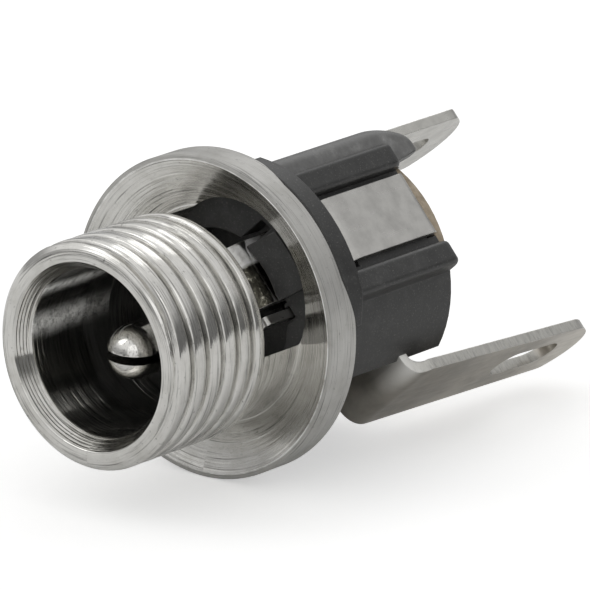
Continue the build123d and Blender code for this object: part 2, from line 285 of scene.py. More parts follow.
def cut(piece, cutter, sharp_above=math.radians(28)):
    """Subtracts the cutter, keeps the result as the piece's own mesh and removes the cutter.
    Edges that turn by more than the given angle stay sharp in the shading."""
    trim = piece.modifiers.new("cut", "BOOLEAN")
    trim.operation = "DIFFERENCE"
    trim.solver = "EXACT"
    trim.object = cutter
    view = bpy.context.evaluated_depsgraph_get()
    result = bpy.data.meshes.new_from_object(piece.evaluated_get(view))
    piece.modifiers.remove(trim)
    piece.data = result
    result.set_sharp_from_angle(angle=sharp_above)
    bpy.data.objects.remove(cutter)
    print(f"{piece.name}: {len(result.polygons)} faces after the cut")


# %% Mill the window and the keyway
window_r = 3.14 * mm
window_centre = np.array((-0.20, 1.50)) * mm
window_sides = 120
window_front_y = thread_end_y - 0.2 * mm
window_back_y = seat_y + 0.05 * mm
turn = np.linspace(0, 2 * math.pi, window_sides, endpoint=False)
window_outline = window_centre + window_r * np.stack([np.cos(turn), np.sin(turn)], -1)
cut(flange, prism("window_cutter", window_outline, window_front_y, window_back_y))

keyway_floor_z = 2.4 * mm
above_flange_z = 7.0 * mm
keyway_front_y = 1.01 * mm
slope_end_y = 1.36 * mm
behind_flange_y = 3.0 * mm
front_half = 1.90 * mm
rear_half = 3.40 * mm
keyway_outline = [
    (-front_half, keyway_front_y), (front_half, keyway_front_y), (rear_half, slope_end_y),
    (rear_half, behind_flange_y), (-rear_half, behind_flange_y), (-rear_half, slope_end_y),
]
cut(flange, prism("keyway_cutter", keyway_outline, keyway_floor_z, above_flange_z, along="z"))

# %% [markdown]
# The centre pin
# The pin is turned brass with a domed tip, sawn crosswise so that its two halves spring
# against the plug. In this jack it has been bent a little: the tip sits lower than the
# axis. It is made straight, slit, and then every point is moved down in proportion to
# its distance from the bore floor, so the slit bends with it. The Simple Deform modifier
# could lean it too, but the formula leaves its root exactly where it was.

# %% Turn the pin
pin_r = 0.96 * mm
dome_y = -3.54 * mm
pin_tip_y = dome_y - pin_r
pin_root_y = 3.10 * mm
pin_columns = 96


def pin_profile():
    """Quarter circle for the dome, then shank, tail and formed head as (radius, y) rows."""
    t = np.linspace(0.06, math.pi / 2, 18)
    dome = np.stack([pin_r * np.sin(t), dome_y - pin_r * np.cos(t)], -1)
    shank = [(pin_r, y) for y in (-3.50 * mm, 0.0, 3.07 * mm, pin_root_y)]
    tail = [(0.75, 3.10), (0.75, 3.13), (0.75, 8.00), (0.65, 8.00), (0.65, 8.77)]
    head = [(1.08, 8.77), (1.10, 8.79), (1.10, 8.81), (0.85, 9.06), (0.80, 9.09), (0.40, 9.09)]
    return np.concatenate([dome, shank, np.array(tail + head) * mm])


def closed_revolve(profile, columns, first_pole_y):
    """Carries an open (radius, y) profile round the axis and closes both ends with fans."""
    poles = np.array([(0, first_pole_y, 0), (0, profile[-1, 1], 0)])
    points = np.concatenate([revolved(profile, columns).reshape(-1, 3), poles])
    first_pole = len(profile) * columns
    last_ring = first_pole - columns
    ring = np.arange(columns)
    after = (ring + 1) % columns
    first_fan = np.stack([np.full(columns, first_pole), ring, after], -1)
    last_fan = np.stack([np.full(columns, first_pole + 1), last_ring + after, last_ring + ring], -1)
    return points, tube_faces(len(profile), columns).tolist() + first_fan.tolist() + last_fan.tolist()


pin_points, pin_faces = closed_revolve(pin_profile(), pin_columns, pin_tip_y)
pin = mesh_piece("split_pin", turned_to_bench(pin_points), pin_faces)
print(f"pin: {len(pin_faces)} faces before it is slit")

# %% Slit and bend the pin
slit_half = 0.15 * mm
slit_reach = 2.0 * mm
slit_end_y = -0.60 * mm
slit_turn = math.radians(45.0)
pin_tip_drop = 0.42 * mm
along_slit = slit_reach * np.array([math.sin(slit_turn), math.cos(slit_turn)])
across_slit = slit_half * np.array([math.cos(slit_turn), -math.sin(slit_turn)])
slit_corners = ((-1, -1), (1, -1), (1, 1), (-1, 1))
slit_outline = [i * along_slit + j * across_slit for i, j in slit_corners]
cut(pin, prism("slit_cutter", slit_outline, dome_y - slit_reach, slit_end_y))


def bend_down(piece, drop, root_y, tip_y):
    """Moves every point down by its share of the drop: z' = z - drop (root - y) / (root - tip)."""
    coordinates = np.empty(len(piece.data.vertices) * 3)
    piece.data.vertices.foreach_get("co", coordinates)
    points = coordinates.reshape(-1, 3)
    points[:, 2] -= drop * np.clip((root_y - points[:, 1]) / (root_y - tip_y), 0, 1)
    piece.data.vertices.foreach_set("co", points.ravel())
    piece.data.update()


bend_down(pin, pin_tip_drop, pin_root_y, pin_tip_y)
print(f"pin tip drops {pin_tip_drop / mm:.2f} mm below the axis")

# %% [markdown]
# The moulded shoulder
# Beside the upper rib the body swells into a smooth shoulder that shelters the pin
# terminal. A mould leaves no hard corner there. A bevel would round every edge alike, so
# the shoulder is one skin instead: a section of flat, arc and flat that follows a plan
# narrowing like a quarter ellipse.

# %% Sizes of the shoulder
shoulder_top = 4.465 * mm
shoulder_side = 3.26 * mm
shoulder_arc = 0.52 * mm
shoulder_foot = 3.02 * mm
taper_from = 7.30 * mm
shoulder_end = 9.56 * mm
inner_edge_x = 1.72 * mm
inner_edge_gain = 0.25 * mm
inner_turn_y = 8.0 * mm
inner_turn_length = 1.35 * mm
arc_share = 0.8
least_thickness = 0.05 * mm
nose_r = 0.50 * mm
nose_from_y = 8.90 * mm
nose_reach = 0.48 * mm
wafer_clear_r = float(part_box("rear_wafer")[1][0]) + 0.03 * mm
print(f"the shoulder clears the wafer at radius {wafer_clear_r / mm:.2f} mm")


# %% Loft the shoulder
def shoulder_rows():
    """Places along y, closer together toward the nose."""
    straight = np.linspace(2.12, 7.30, 14)
    taper = np.linspace(7.42, 9.30, 24)
    nose = (9.34, 9.37, 9.39)
    return np.concatenate([straight, taper, nose]) * mm


def shoulder_skin():
    """Section points times plan: x = inner edge to side(y), with side(y) = a + b sqrt(1 - s^2).
    The underside is an arch just clear of the wafer's rim, no lower than the shoulder's foot:
    z = sqrt(r^2 - x^2). The section runs along the top, round the arc and back underneath."""
    y = shoulder_rows()
    s = np.clip((y - taper_from) / (shoulder_end - taper_from), 0, 1)
    inner_x = inner_edge_x + inner_edge_gain * np.clip((y - inner_turn_y) / inner_turn_length, 0, 1)
    side = inner_x + (shoulder_side - inner_x) * np.sqrt(1 - s ** 2)
    nose = np.clip(y - nose_from_y, 0, nose_reach)
    top = shoulder_top - nose_r + np.sqrt(nose_r ** 2 - nose ** 2)
    inner_x, side, top = inner_x[:, None], side[:, None], top[:, None]
    width = side - inner_x
    arc_r = np.minimum(shoulder_arc, width * arc_share)
    t = np.linspace(0, math.pi / 2, 13)
    arc_x = side - arc_r + arc_r * np.sin(t)
    arc_z = top - arc_r + arc_r * np.cos(t)
    under_x = inner_x + width * np.linspace(1, 0, 10)
    arch = np.sqrt(np.clip(wafer_clear_r ** 2 - under_x ** 2, 0, None))
    under_z = np.minimum(np.maximum(arch, shoulder_foot), top - least_thickness)
    x = np.concatenate([inner_x, inner_x + 0.05 * width, arc_x, under_x], 1)
    z = np.concatenate([top, top, arc_z, under_z], 1)
    return np.stack([-x, np.repeat(y[:, None], x.shape[1], 1), z], -1)


shoulder_points = shoulder_skin()
shoulder_faces = closed_tube_faces(*shoulder_points.shape[:2])
shoulder = mesh_piece("moulded_shoulder", turned_to_bench(shoulder_points), shoulder_faces)
shoulder.data.set_sharp_from_angle(angle=math.radians(50))
print("shoulder skin:", len(shoulder_faces), "faces")

# %% [markdown]
# The polished end of the contact
# The finger in the window is the part of the spring that plugs rub against, so its face
# is polished, slightly crowned from side to side, and curled down at its end, and it has
# a crisp fold where it leaves the flat. A flat strip with bevelled edges would flash all
# at once. So one profile is drawn from the flat to the curl and carried across the width,
# sinking a little toward both sides, and the light runs along its crown.

# %% Sizes of the finger's face
finger_left = -1.29 * mm
finger_right = 1.09 * mm
finger_top = 2.735 * mm
fold_y = 0.68 * mm
slope_length = 0.98 * mm
slope_fall = 0.42 * mm
lift_y = 0.62 * mm
lift_length = 0.14 * mm
face_lift = 0.08 * mm
face_thickness = 0.05 * mm
end_step = 0.03 * mm
curl_r = 0.16 * mm
curl_flattening = 0.62
curl_start = 0.3
curl_stop = 1.35
side_sink = 0.05 * mm
left_sink = 0.04 * mm
left_from = 0.35
flat_y = 0.9 * mm
sink_length = 0.5 * mm
print(f"finger face: {(finger_right - finger_left) / mm:.2f} mm wide")


# %% Draw the finger's face
def finger_line():
    """Side view from the flat to the curl: z = top + lift - fall (0.55 s + 0.45 s^2), where s is the
    share of the slope, then an arc of a flattened circle. A second line just below closes it."""
    y = np.concatenate([np.linspace(1.60, 0.70, 5), np.linspace(0.66, -0.30, 25)]) * mm
    s = np.clip((fold_y - y) / slope_length, 0, 1)
    lift = face_lift * np.clip((lift_y - y) / lift_length, 0, 1)
    z = finger_top + lift - slope_fall * (0.55 * s + 0.45 * s ** 2)
    t = np.linspace(curl_start, curl_stop, 8)
    curl_y = y[-1] - curl_r * (np.sin(t) - math.sin(curl_start)) * curl_flattening
    curl_z = z[-1] - curl_r * (math.cos(curl_start) - np.cos(t))
    top_y = np.concatenate([y, curl_y])
    top_z = np.concatenate([z, curl_z])
    ring_y = np.concatenate([top_y, top_y[::-1] + end_step])
    ring_z = np.concatenate([top_z, top_z[::-1] - face_thickness])
    return ring_y, ring_z


def finger_face():
    """The side view carried across the width u from -1 to 1. It sinks by the fourth power of u and,
    further to the left than 0.35, by a square, and neither sink reaches the flat behind the fold."""
    ring_y, ring_z = finger_line()
    u = np.linspace(-1, 1, 49)
    x = (finger_left + finger_right) / 2 + u * (finger_right - finger_left) / 2
    leftness = np.clip((-u - left_from) / (1 - left_from), 0, 1)
    crown = side_sink * np.abs(u) ** 4 + left_sink * leftness ** 2
    ahead_of_flat = np.clip((flat_y - ring_y) / sink_length, 0, 1)
    across, along = np.meshgrid(x, ring_y, indexing="ij")
    return np.stack([across, along, ring_z - crown[:, None] * ahead_of_flat], -1)


def finger_face_faces(rows, columns):
    """The quads of the tube, and a strip of quads between its two lines over each end."""
    i = np.arange(columns // 2 - 1)
    end_strip = np.stack([i, i + 1, columns - 2 - i, columns - 1 - i], -1)
    return np.concatenate([tube_faces(rows, columns), end_strip, end_strip + (rows - 1) * columns])


finger_points = finger_face()
finger_faces = finger_face_faces(*finger_points.shape[:2])
finger = mesh_piece("contact_face", turned_to_bench(finger_points), finger_faces)
finger.data.set_sharp_from_angle(angle=math.radians(40))
print("finger face:", len(finger_faces), "faces")

# %% [markdown]
# Finishes
# Every finish is a node tree. Written out node by node a tree is long and hard to read,
# so small helpers add the kinds of node that come back: a sum, a noise, a mix, a ramp.
# Each helper returns the socket with its result, ready to feed the next one.


# %% Shader helpers
def feed(tree, made, inputs):
    """Fills a node's inputs by name or number: a socket is linked and a value is set."""
    for key, value in inputs.items():
        if isinstance(value, bpy.types.NodeSocket):
            tree.links.new(value, made.inputs[key])
        else:
            made.inputs[key].default_value = value


def node(tree, kind, inputs=None, **settings):
    """Adds a node, sets its properties and feeds its inputs."""
    made = tree.nodes.new(kind)
    for key, value in settings.items():
        setattr(made, key, value)
    feed(tree, made, inputs or {})
    return made


def empty_tree(owner):
    """The node tree of a material or a world, switched on and cleared."""
    owner.use_nodes = True
    owner.node_tree.nodes.clear()
    return owner.node_tree


def new_material(name):
    """A node material with a Principled shader wired to its output, and its Object coordinates."""
    material = bpy.data.materials.new(name)
    tree = empty_tree(material)
    shader = node(tree, "ShaderNodeBsdfPrincipled")
    node(tree, "ShaderNodeOutputMaterial", {0: shader.outputs[0]})
    place = node(tree, "ShaderNodeTexCoord").outputs["Object"]
    return material, tree, shader, place


# %% Helpers for numbers and vectors
def maths(tree, operation, first, second=0.0, third=0.0):
    """The result of one Math node."""
    made = node(tree, "ShaderNodeMath", {0: first, 1: second, 2: third}, operation=operation)
    return made.outputs[0]


def spread(tree, value, low, high, to_low=0.0, to_high=1.0, interpolation="LINEAR"):
    """Maps low to high onto the second range, and holds the result inside that range."""
    limits = {"Value": value, "From Min": low, "From Max": high, "To Min": to_low, "To Max": to_high}
    return node(tree, "ShaderNodeMapRange", limits, interpolation_type=interpolation).outputs[0]


def fading(tree, distance, reach):
    """1 where the distance is nothing, falling smoothly to 0 at the reach."""
    return spread(tree, distance, 0.0, reach, 1.0, 0.0, "SMOOTHSTEP")


def metal_left(tree, covering, least=0.0):
    """How metallic a place stays: 1 where the covering's share is 0, the least where it is 1."""
    return spread(tree, covering, 0.0, 1.0, 1.0, least)


def split(tree, vector):
    """The x, y and z of a vector."""
    return tuple(node(tree, "ShaderNodeSeparateXYZ", {0: vector}).outputs)


def dot(tree, first, second):
    """The dot product: how far one vector points along the other."""
    made = node(tree, "ShaderNodeVectorMath", {0: first, 1: second}, operation="DOT_PRODUCT")
    return made.outputs["Value"]


def facing(tree):
    """The direction that the surface faces."""
    return node(tree, "ShaderNodeNewGeometry").outputs["Normal"]


# %% Helpers for patterns and colours
def noise(tree, vector, scale, detail, roughness, distortion=0.0):
    """Cloudy noise from about 0.3 to 0.7."""
    inputs = {"Vector": vector, "Scale": scale, "Detail": detail}
    inputs.update({"Roughness": roughness, "Distortion": distortion})
    return node(tree, "ShaderNodeTexNoise", inputs).outputs[0]


def stretched(tree, vector, scale):
    """Coordinates scaled by a factor for each axis; a small factor makes a pattern long."""
    return node(tree, "ShaderNodeMapping", {"Vector": vector, "Scale": scale}).outputs[0]


def mixed(tree, share, first, second, blend="MIX"):
    """The second colour over the first by a share. Sockets 6 and 7 are the node's two colours."""
    inputs = {"Factor": share, 6: first, 7: second}
    return node(tree, "ShaderNodeMix", inputs, data_type="RGBA", blend_type=blend).outputs[2]


def multiplied(tree, share, first, second):
    """The first colour multiplied by the second, by a share."""
    return mixed(tree, share, first, second, "MULTIPLY")


def ramp(tree, source, stops):
    """A colour ramp through (position, grey or colour) stops."""
    made = node(tree, "ShaderNodeValToRGB", {"Fac": source})
    elements = made.color_ramp.elements
    while len(elements) < len(stops):
        elements.new(0.5)
    for element, (position, colour) in zip(elements, stops):
        element.position = position
        element.color = (colour, colour, colour, 1) if np.isscalar(colour) else (*colour, 1)
    return made.outputs["Color"]


def bumped(tree, height, strength, distance, normal=None):
    """A normal tilted by a height pattern, on top of another normal where one is given."""
    inputs = {"Height": height, "Strength": strength, "Distance": distance}
    if normal:
        inputs["Normal"] = normal
    return node(tree, "ShaderNodeBump", inputs).outputs[0]


# %% [markdown]
# Turned nickel
# The lathe leaves fine rings that run round the axis, in the brass and so in the plate
# on it. An image would have to be unrolled without a seam. The rings depend on radius
# and height alone, so the shader works out the radius from the Object coordinates and
# feeds radius and height to a noise texture.

# %% Lathe rings
angle_share = 0.00008
bright_plate = [(0.30, (0.62, 0.61, 0.575)), (0.52, (0.73, 0.72, 0.69)), (0.75, (0.79, 0.78, 0.75))]


def ring_coordinates(tree, x, y, z):
    """Radius sqrt(x^2 + z^2), height and a little of the angle as one vector, then radius and angle."""
    square = maths(tree, "ADD", maths(tree, "MULTIPLY", x, x), maths(tree, "MULTIPLY", z, z))
    radius = maths(tree, "SQRT", square)
    angle = maths(tree, "ARCTAN2", x, z)
    little = maths(tree, "MULTIPLY", angle, angle_share)
    rings = node(tree, "ShaderNodeCombineXYZ", {0: radius, 1: y, 2: little}).outputs[0]
    return rings, radius, angle


def stretch_across_rings(tree, x, z):
    """N x C, where C = (z, 0, -x) runs round the axis. Fine grooves spread a highlight across
    themselves, and a Principled shader spreads its gloss along the tangent that it is given."""
    minus_x = maths(tree, "MULTIPLY", x, -1.0)
    round_axis = node(tree, "ShaderNodeCombineXYZ", {0: z, 2: minus_x}).outputs[0]
    inputs = {0: facing(tree), 1: round_axis}
    return node(tree, "ShaderNodeVectorMath", inputs, operation="CROSS_PRODUCT").outputs[0]


def plated_colour(tree, place, rings, spots):
    """Warm grey plate with cloudy spots, dark pits and hair-fine lines along the rings, which are painted
    shade of the fine grooves with faint painted glints.
    """
    specks = noise(tree, place, scale=5600, detail=4, roughness=0.75)
    hair = noise(tree, rings, scale=17000, detail=3, roughness=0.7)
    pits = ramp(tree, specks, [(0.31, 0.45), (0.37, 1.0), (1.0, 1.0)])
    # Painted shade: the hair-fine lines darken the rings as the shade of fine lathe grooves; above one they
    # add faint painted glints.
    lines = ramp(tree, hair, [(0.34, 0.38), (0.42, 0.95), (0.52, 1.06)])
    plate = ramp(tree, spots, bright_plate)
    return multiplied(tree, 1.0, multiplied(tree, 1.0, plate, pits), lines)


# %% Handled rim and painted edge highlight
edge_highlight_half_width = 0.028 * mm
edge_highlight_depth = 0.05 * mm
edge_highlight_roughness = 0.35
handled_share = 0.5
edge_highlight_colour = (0.98, 0.975, 0.95, 1)
handled_grey = (0.70, 0.70, 0.70, 1)


def handled_rim_and_edge_highlight(tree, y, radius, spots, colour, roughness, dull_outside):
    """From the edge of the dish outward the plate is darker, duller and half worn off by handling.
    A painted highlight, a bright matt line with gaps, runs along that edge. Returns colour, roughness and
    metal share."""
    outside = maths(tree, "GREATER_THAN", radius, rim_land_r)
    # Painted highlight: a thin bright line along the dish's edge, with gaps.
    near_edge = maths(tree, "COMPARE", radius, rim_land_r, edge_highlight_half_width)
    in_front = maths(tree, "LESS_THAN", y, edge_highlight_depth)
    edge_highlight = maths(tree, "MULTIPLY", near_edge, in_front)
    broken_highlight = maths(tree, "MULTIPLY", edge_highlight, ramp(tree, spots, [(0.38, 0.25), (0.55, 1.0)]))
    roughness = maths(tree, "MULTIPLY_ADD", outside, dull_outside, roughness)
    roughness = maths(tree, "MULTIPLY_ADD", broken_highlight, edge_highlight_roughness, roughness)
    colour = multiplied(tree, outside, colour, handled_grey)
    colour = mixed(tree, broken_highlight, colour, edge_highlight_colour)
    matt_share = maths(tree, "MAXIMUM", broken_highlight, maths(tree, "MULTIPLY", outside, handled_share))
    return colour, roughness, metal_left(tree, matt_share)


# %% Painted shade in the thread and painted streaks in the bore
outer_wall_r = 3.6 * mm
darkest_groove_r = 3.68 * mm
unshaded_crest_r = 3.95 * mm
bevel_end_y = mouth_y + 0.22 * mm
groove_shade_start_y = mouth_y + 0.42 * mm
groove_shade_tones = [(0.0, 0.30), (0.30, 0.48), (0.62, 0.95), (0.85, 1.0)]
painted_streak_angles = ((-1.431, 0.23), (-0.91, 0.16))
streak_highlight_colour = (0.96, 0.955, 0.93, 1)


def painted_groove_shade(tree, y, radius, patchy, colour):
    """Painted shade: darkens the outer wall by its depth below the crest, in patches, and not on the bevel.
    """
    # Painted shade: the thread's grooves get darker with their depth, in patches.
    from_root = spread(tree, radius, darkest_groove_r, unshaded_crest_r)
    behind_bevel = spread(tree, y, bevel_end_y, groove_shade_start_y)
    patches = ramp(tree, patchy, [(0.36, 0.55), (0.60, 1.0)])
    outer_wall = maths(tree, "GREATER_THAN", radius, outer_wall_r)
    share = maths(tree, "MULTIPLY", maths(tree, "MULTIPLY", behind_bevel, patches), outer_wall)
    return multiplied(tree, share, colour, ramp(tree, from_root, groove_shade_tones))


def painted_bore_streaks(tree, angle, inside, patchy):
    """Share of painted reflection streaks in the bore: soft streaks at two angles, in patches."""
    share = 0.0
    for middle, half_width in painted_streak_angles:
        distance = maths(tree, "ABSOLUTE", maths(tree, "ADD", angle, -middle))
        share = maths(tree, "ADD", fading(tree, distance, half_width), share)
    share = maths(tree, "MULTIPLY", share, inside)
    return maths(tree, "MULTIPLY", share, ramp(tree, patchy, [(0.36, 0.30), (0.54, 1.0)]))


# %% Turned nickel
bore_wall_r = bore_r * 1.01
broad_share = 1.6
ring_depth = 0.02 * mm


def turned_nickel(name, ring_strength, base_roughness, dull_inside=0.0, dull_outside=0.0, painted_marks=False):
    """Bright plated metal with lathe rings: noise over radius and height drives bump and gloss.
    The bore can be duller, the rim can show handling and a painted edge highlight, and painted
    marks give the barrel painted shade in its grooves and painted reflection streaks in its bore."""
    material, tree, shader, place = new_material(name)
    x, y, z = split(tree, place)
    rings, radius, angle = ring_coordinates(tree, x, y, z)
    fine = noise(tree, rings, scale=9000, detail=3, roughness=0.6)
    broad = noise(tree, rings, scale=1800, detail=2, roughness=0.5)
    spots = noise(tree, place, scale=900, detail=4, roughness=0.65)
    grooves = maths(tree, "MULTIPLY_ADD", broad, broad_share, fine)
    colour = plated_colour(tree, place, rings, spots)
    gloss = ramp(tree, fine, [(0.35, base_roughness * 0.75), (0.7, base_roughness * 1.5)])
    inside = maths(tree, "LESS_THAN", radius, bore_wall_r)
    roughness = maths(tree, "MULTIPLY_ADD", inside, dull_inside, gloss)
    metallic = 1.0
    if dull_outside:
        rim_and_highlight = handled_rim_and_edge_highlight(tree, y, radius, spots, colour, roughness, dull_outside)
        colour, roughness, metallic = rim_and_highlight
    # Painted shade in the thread's grooves and painted reflection streaks in the bore.
    if painted_marks:
        patchy = noise(tree, place, scale=1500, detail=6, roughness=0.75)
        colour = painted_groove_shade(tree, y, radius, patchy, colour)
        streak_share = painted_bore_streaks(tree, angle, inside, patchy)
        # Painted reflections: pale, matt streaks along the dark bore.
        colour = mixed(tree, streak_share, colour, streak_highlight_colour)
        metallic = metal_left(tree, streak_share)
    feed(tree, shader, {
        "Base Color": colour,
        "Metallic": metallic,
        "Roughness": roughness,
        "Anisotropic": 0.75,
        "Tangent": stretch_across_rings(tree, x, z),
        "Normal": bumped(tree, grooves, ring_strength, ring_depth),
    })
    return material


nickel = turned_nickel("turned_nickel", 0.80, 0.115, dull_inside=0.02, painted_marks=True)
satin_nickel = turned_nickel("satin_nickel", 0.9, 0.18, dull_outside=0.24)
pin_metal = turned_nickel("pin_nickel", 0.12, 0.12)
print("finishes made:", nickel.name, satin_nickel.name, pin_metal.name)

# %% [markdown]
# Moulded black plastic
# The body is a hard black plastic. A plain near-black would look like a hole in the
# picture, because a real moulding shows its fine texture, a soft sheen, a few pale
# specks, and dust where its corners have rubbed. A Bevel node finds the corners: where
# its rounded normal leaves the true one, there is an edge.


# %% Black body
def edge_wear(tree, reach):
    """1 at corners and 0 on flats: how far a normal rounded over the reach turns from the true one.
    Returns that share and the rounded normal."""
    rounded = node(tree, "ShaderNodeBevel", {"Radius": reach}, samples=6).outputs[0]
    match = dot(tree, rounded, facing(tree))
    return ramp(tree, match, [(0.78, 1.0), (0.985, 0.0)]), rounded


corner_reach = 0.09 * mm
grain_depth = 0.01 * mm
dust_strength = 0.7
plastic_tones = ((0.30, 0.022), (0.54, 0.036), (0.68, 0.055), (0.78, 0.10))
plastic_tint = np.array((1.0, 1.0, 0.98))
dust_colour = (0.20, 0.195, 0.18, 1)


def moulded_black(name, lift):
    """Near-black plastic with a soft sheen, fine mould texture, pale specks and dusty corners.
    The lift scales its colour; a lift above one is painted light, for a shoulder that faces up and so looks
    paler than a sheltered flat."""
    material, tree, shader, place = new_material(name)
    grain = noise(tree, place, scale=6000, detail=4, roughness=0.6)
    patch = noise(tree, place, scale=1300, detail=6, roughness=0.7)
    specks = noise(tree, place, scale=15000, detail=2, roughness=0.7)
    worn, rounded = edge_wear(tree, corner_reach)
    tones = [(position, plastic_tint * tone * lift) for position, tone in plastic_tones]
    dusty = maths(tree, "MULTIPLY", worn, ramp(tree, patch, [(0.40, 0.05), (0.62, 0.55)]))
    fleck = ramp(tree, specks, [(0.60, 0.0), (0.70, 0.55)])
    share = maths(tree, "MULTIPLY", maths(tree, "MAXIMUM", dusty, fleck), dust_strength)
    feed(tree, shader, {
        "Base Color": mixed(tree, share, ramp(tree, patch, tones), dust_colour),
        "Roughness": ramp(tree, patch, [(0.35, 0.36), (0.70, 0.52)]),
        "Normal": bumped(tree, grain, 0.45, grain_depth, rounded),
    })
    return material


black = moulded_black("moulded_black", 1.0)
# Painted light: the same plastic, four times paler, for the shoulder that faces the light.
painted_light_black = moulded_black("painted_light_black", 4.0)
print("finishes made:", black.name, painted_light_black.name)

# %% [markdown]
# Tinned sheet
# The lugs and the spring are stamped from plated sheet. The rollers leave streaks along
# the sheet, fingers leave marks, and the shear leaves a paler edge with lines across it.
# The bend at a lug's root gets a painted highlight. Stretched noise makes streaks and shear lines
# alike, and the direction that a face looks tells the cut edge from the sheet.

# %% Shear marks and painted bend highlight
upward = (math.sin(bench_turn), 0.0, math.cos(bench_turn))
bend_y = 5.80 * mm
bend_reach = 0.55 * mm
bend_half_height = 1.8 * mm
bend_highlight_colour = (0.95, 0.94, 0.90, 1)


def scaled(colour, factor):
    """A colour made lighter or darker, held at one."""
    return tuple(min(1.0, c * factor) for c in colour)


def sheared_edge(tree, place, colour, edge_colour):
    """Lays a paler colour with lines across the thickness on faces that look up."""
    on_edge = ramp(tree, dot(tree, facing(tree), upward), [(0.60, 0.0), (0.80, 1.0)])
    across = stretched(tree, place, (0.25, 1.0, 0.25))
    lines = noise(tree, across, scale=8500, detail=5, roughness=0.75)
    tones = [(0.34, scaled(edge_colour, 0.76)), (0.50, edge_colour), (0.72, scaled(edge_colour, 1.16))]
    return mixed(tree, on_edge, colour, ramp(tree, lines, tones))


def painted_bend_highlight(tree, place, height, colour):
    """Painted highlight on the upper half of the bend at the lug's root. Returns colour and metal share."""
    upper_half = spread(tree, dot(tree, place, upward), 0.0, bend_half_height)
    distance = maths(tree, "ABSOLUTE", maths(tree, "ADD", height, -bend_y))
    # Painted highlight: a bright band on the upper half of the bend.
    bend_highlight_share = maths(tree, "MULTIPLY", upper_half, fading(tree, distance, bend_reach))
    return mixed(tree, bend_highlight_share, colour, bend_highlight_colour), metal_left(tree, bend_highlight_share, least=0.4)


# %% Tinned sheet
lug_from_y = 5 * mm
lug_to_y = 16 * mm
sheet_edge_reach = 0.05 * mm
dent_depth = 0.02 * mm
even_along = ((0.0, 1.0), (1.0, 1.0))
# Painted light and shade: lighter and darker bands at places along the lug.
painted_shading_along = ((0.0, 0.95), (0.34, 0.86), (0.45, 1.10), (0.56, 1.14), (0.70, 0.92), (0.82, 1.15), (1.0, 1.45))
stop_scale = 0.7
scale_back = (1 / stop_scale, 1 / stop_scale, 1 / stop_scale, 1)
corner_wear_and_highlight_colour = (0.92, 0.91, 0.88, 1)


def tinned_sheet(name, base, base_roughness, dents=0.35, along=even_along, cut_edge=None):
    """Satin plated sheet: a slightly warm grey metal with faint streaks and handling marks.
    Stops along the lug, from 5 mm to 16 mm, scale its colour, painted light and shade where they
    differ, and are held under one in their ramp and scaled back after it. A lug with a cut edge
    also has its shear marks and a painted highlight on its bend. Corners are paler: partly worn
    by rubbing, partly painted highlight."""
    material, tree, shader, place = new_material(name)
    rolled = stretched(tree, place, (1.0, 0.12, 1.0))
    streak = noise(tree, rolled, scale=5000, detail=3, roughness=0.55)
    spots = noise(tree, place, scale=1300, detail=5, roughness=0.6)
    worn, rounded = edge_wear(tree, sheet_edge_reach)
    _, height, _ = split(tree, place)
    tones = [(0.30, scaled(base, 0.80)), (0.55, base), (0.75, scaled(base, 1.10))]
    run = spread(tree, height, lug_from_y, lug_to_y)
    shade = ramp(tree, run, [(position, tone * stop_scale) for position, tone in along])
    colour = multiplied(tree, 1.0, ramp(tree, spots, tones), shade)
    colour = multiplied(tree, 1.0, colour, scale_back)
    metallic = 1.0
    if cut_edge:
        colour = sheared_edge(tree, place, colour, cut_edge)
        colour, metallic = painted_bend_highlight(tree, place, height, colour)
    # Pale corners: partly wear, partly a painted highlight along the edges.
    corner = maths(tree, "MULTIPLY", worn, ramp(tree, spots, [(0.36, 0.15), (0.58, 0.85)]))
    feed(tree, shader, {
        "Base Color": mixed(tree, corner, colour, corner_wear_and_highlight_colour),
        "Metallic": metallic,
        "Roughness": ramp(tree, streak, [(0.35, base_roughness * 0.85), (0.7, base_roughness * 1.25)]),
        "Normal": bumped(tree, spots, dents, dent_depth, rounded),
    })
    return material


lug_metal = tinned_sheet("tinned_lug", (0.65, 0.64, 0.605), 0.30)
# Painted shade: this lug's sheet is darker than the pin lug's, and its stops paint lighter and darker bands
# along it; its bend gets a painted highlight.
lug_metal_painted_shading = tinned_sheet(
    "lug_painted_shading", (0.47, 0.445, 0.40), 0.34, along=painted_shading_along, cut_edge=(0.62, 0.61, 0.575),
)
strip_metal = tinned_sheet("contact_strip", (0.62, 0.61, 0.585), 0.32, dents=0.12)
print("finishes made:", lug_metal.name, lug_metal_painted_shading.name, strip_metal.name)

# %% [markdown]
# The polished contact
# One side of the finger carries a painted highlight of bright plate, and the rest is a dark
# mottle between scratches. Two materials would meet in a hard line, so one material reads
# how far a point lies to the left and passes from the dark mottle to the painted highlight over 0.15 mm.

# %% Polished contact
leftward = (-math.cos(bench_turn), 0.0, math.sin(bench_turn))
dark_mottle_tones = [(0.42, (0.045, 0.042, 0.034)), (0.54, (0.13, 0.125, 0.10)), (0.60, (0.60, 0.58, 0.50))]
highlight_tones = [(0.30, (0.62, 0.61, 0.58)), (0.50, (0.98, 0.975, 0.96))]
dark_mottle_to = 0.35 * mm
highlight_from = 0.50 * mm
scratch_depth = 0.03 * mm
fold_highlight_y = 0.63 * mm
fold_highlight_half_width = 0.035 * mm
fold_highlight_colour = (0.80, 0.79, 0.75, 1)


